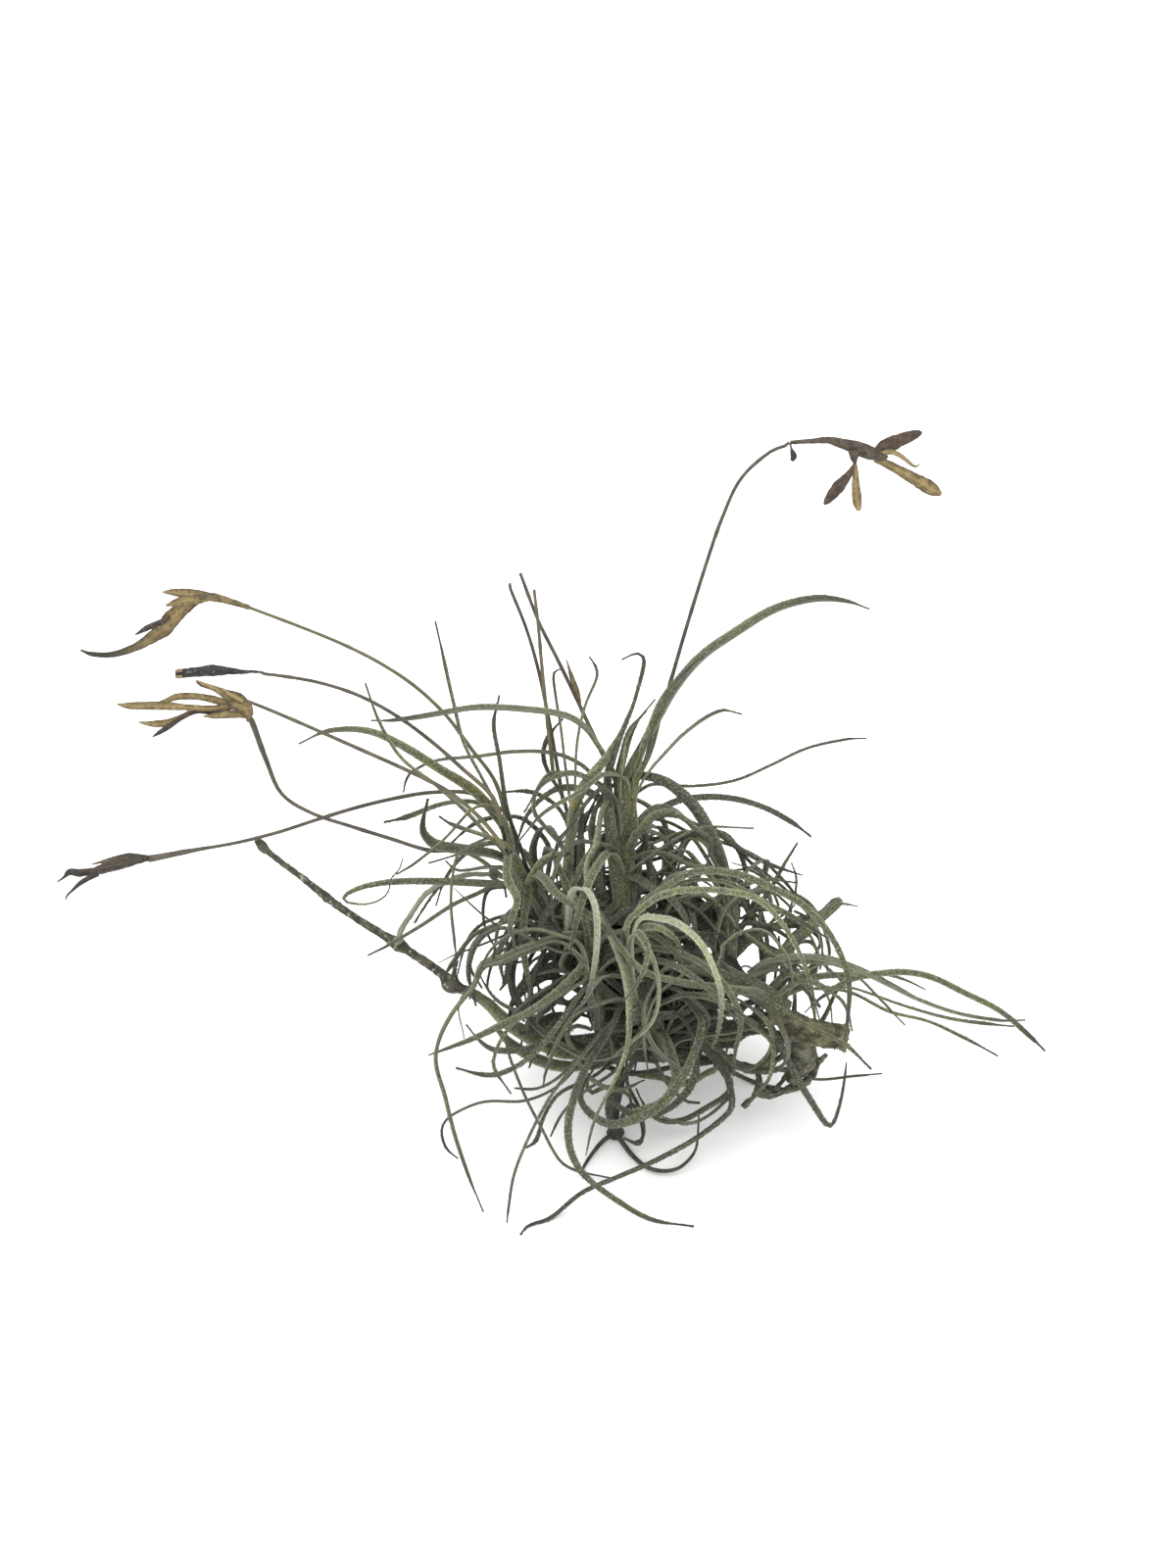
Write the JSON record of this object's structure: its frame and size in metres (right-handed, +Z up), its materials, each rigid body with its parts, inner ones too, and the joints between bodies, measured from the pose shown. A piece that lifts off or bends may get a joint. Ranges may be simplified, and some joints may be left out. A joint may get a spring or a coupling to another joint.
{
  "type": "air plant",
  "caption": "Clump of grey-green air plant with narrow curling leaves, wiry flower stalks and split seed capsules, growing on a piece of twig and lying on a surface",
  "frame": {"origin": "middle of the small flat underside of the foot that the clump rests on", "axes": "+Z up, +X along the longest extent, to the right of a viewer in front, +Y away from that viewer"},
  "size_m": [0.2019, 0.083, 0.1408],
  "materials": {
    "leaf": "dry grey-green leaf felted with fine silvery scales, darker towards the thread-like tip",
    "pale_leaf": "younger leaf with a thick pale coat of silvery scales",
    "dark_leaf": "older shaded leaf, dark olive grey with thin scales",
    "stalk": "wiry olive-brown flower stalk, satin",
    "straw_capsule": "dry straw-coloured seed capsule, satin inside",
    "dark_capsule": "dark brown weathered seed capsule",
    "twig": "grey twig bark with lichen",
    "bark": "olive-brown flaking old stem",
    "root": "wiry dark brown root, dull"
  },
  "bodies": {
    "root": {"shoot_upright": "leaf", "shoot_upright_left": "leaf", "shoot_left": "leaf", "shoot_front": "pale_leaf", "shoot_low_left": "leaf", "shoot_low": "leaf", "shoot_low_right": "leaf", "shoot_right": "leaf", "shoot_right_upper": "leaf", "shoot_right_middle": "leaf", "shoot_inner_right": "leaf", "shoot_back": "dark_leaf", "shoot_back_left": "dark_leaf", "shoot_back_right": "dark_leaf", "shoot_back_low": "dark_leaf", "shoot_core": "dark_leaf", "stalk_tall": "stalk", "stalk_left_upper": "stalk", "stalk_left_dark": "stalk", "stalk_left_bud": "stalk", "stalk_left_lower": "stalk", "stalk_left_long": "stalk", "stalk_young_left": "stalk", "stalk_young_middle": "stalk", "stalk_young_right": "stalk", "capsules_tall": "dark_capsule", "capsules_left_upper": "straw_capsule", "capsules_closed": "dark_capsule", "capsules_left_lower": "straw_capsule", "capsules_left_long": "dark_capsule", "twig": "twig", "bark_stub": "bark", "old_stems": "bark", "roots": "root", "foot": "root"}
  },
  "joints": []
}
